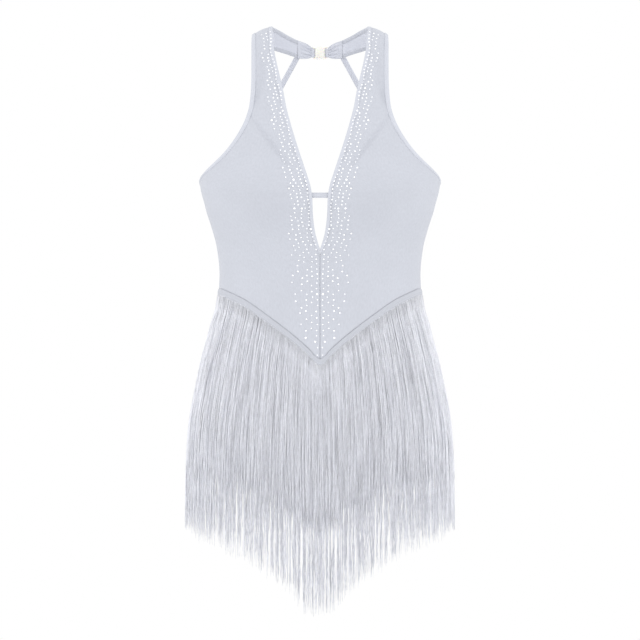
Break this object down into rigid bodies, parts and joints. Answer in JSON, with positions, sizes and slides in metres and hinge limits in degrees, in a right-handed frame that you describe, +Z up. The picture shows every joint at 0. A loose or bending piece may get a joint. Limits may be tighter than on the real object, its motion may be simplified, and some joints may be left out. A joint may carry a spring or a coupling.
{
  "type": "figure skating dress",
  "caption": "Sleeveless halter figure skating dress with a plunging keyhole neck, a low open back, an attached brief and a two-tier fringe skirt, filled out as it is worn.",
  "frame": {"origin": "midway between the tops of the two straps, where the dress hangs on the neck and shoulders", "axes": "+Z up along the wearer's height, -Y out of the front, +X to the wearer's left"},
  "size_m": [0.3535, 0.246, 0.758],
  "materials": {
    "knit": "pale lilac-grey matte stretch knit, set with rhinestones down both sides of the neckline",
    "binding": "the same knit, folded double and topstitched",
    "fringe": "fine soft strands, slightly lustrous",
    "clasp": "cream moulded plastic"
  },
  "bodies": {
    "root": {"front_left": "knit", "front_right": "knit", "neck_binding_left": "binding", "neck_binding_right": "binding", "armhole_binding_left": "binding", "armhole_binding_right": "binding", "neck_tab_left": "knit", "neck_tab_right": "knit", "back_strap_left": "binding", "back_strap_right": "binding", "clasp_hook": "clasp", "clasp_loop": "clasp", "bust_bar": "binding", "back": "knit", "back_binding": "binding", "brief_front": "knit", "brief_back": "knit", "fringe_front_upper": "fringe", "fringe_front_lower": "fringe", "fringe_back_upper": "fringe", "fringe_back_lower": "fringe"}
  },
  "joints": []
}
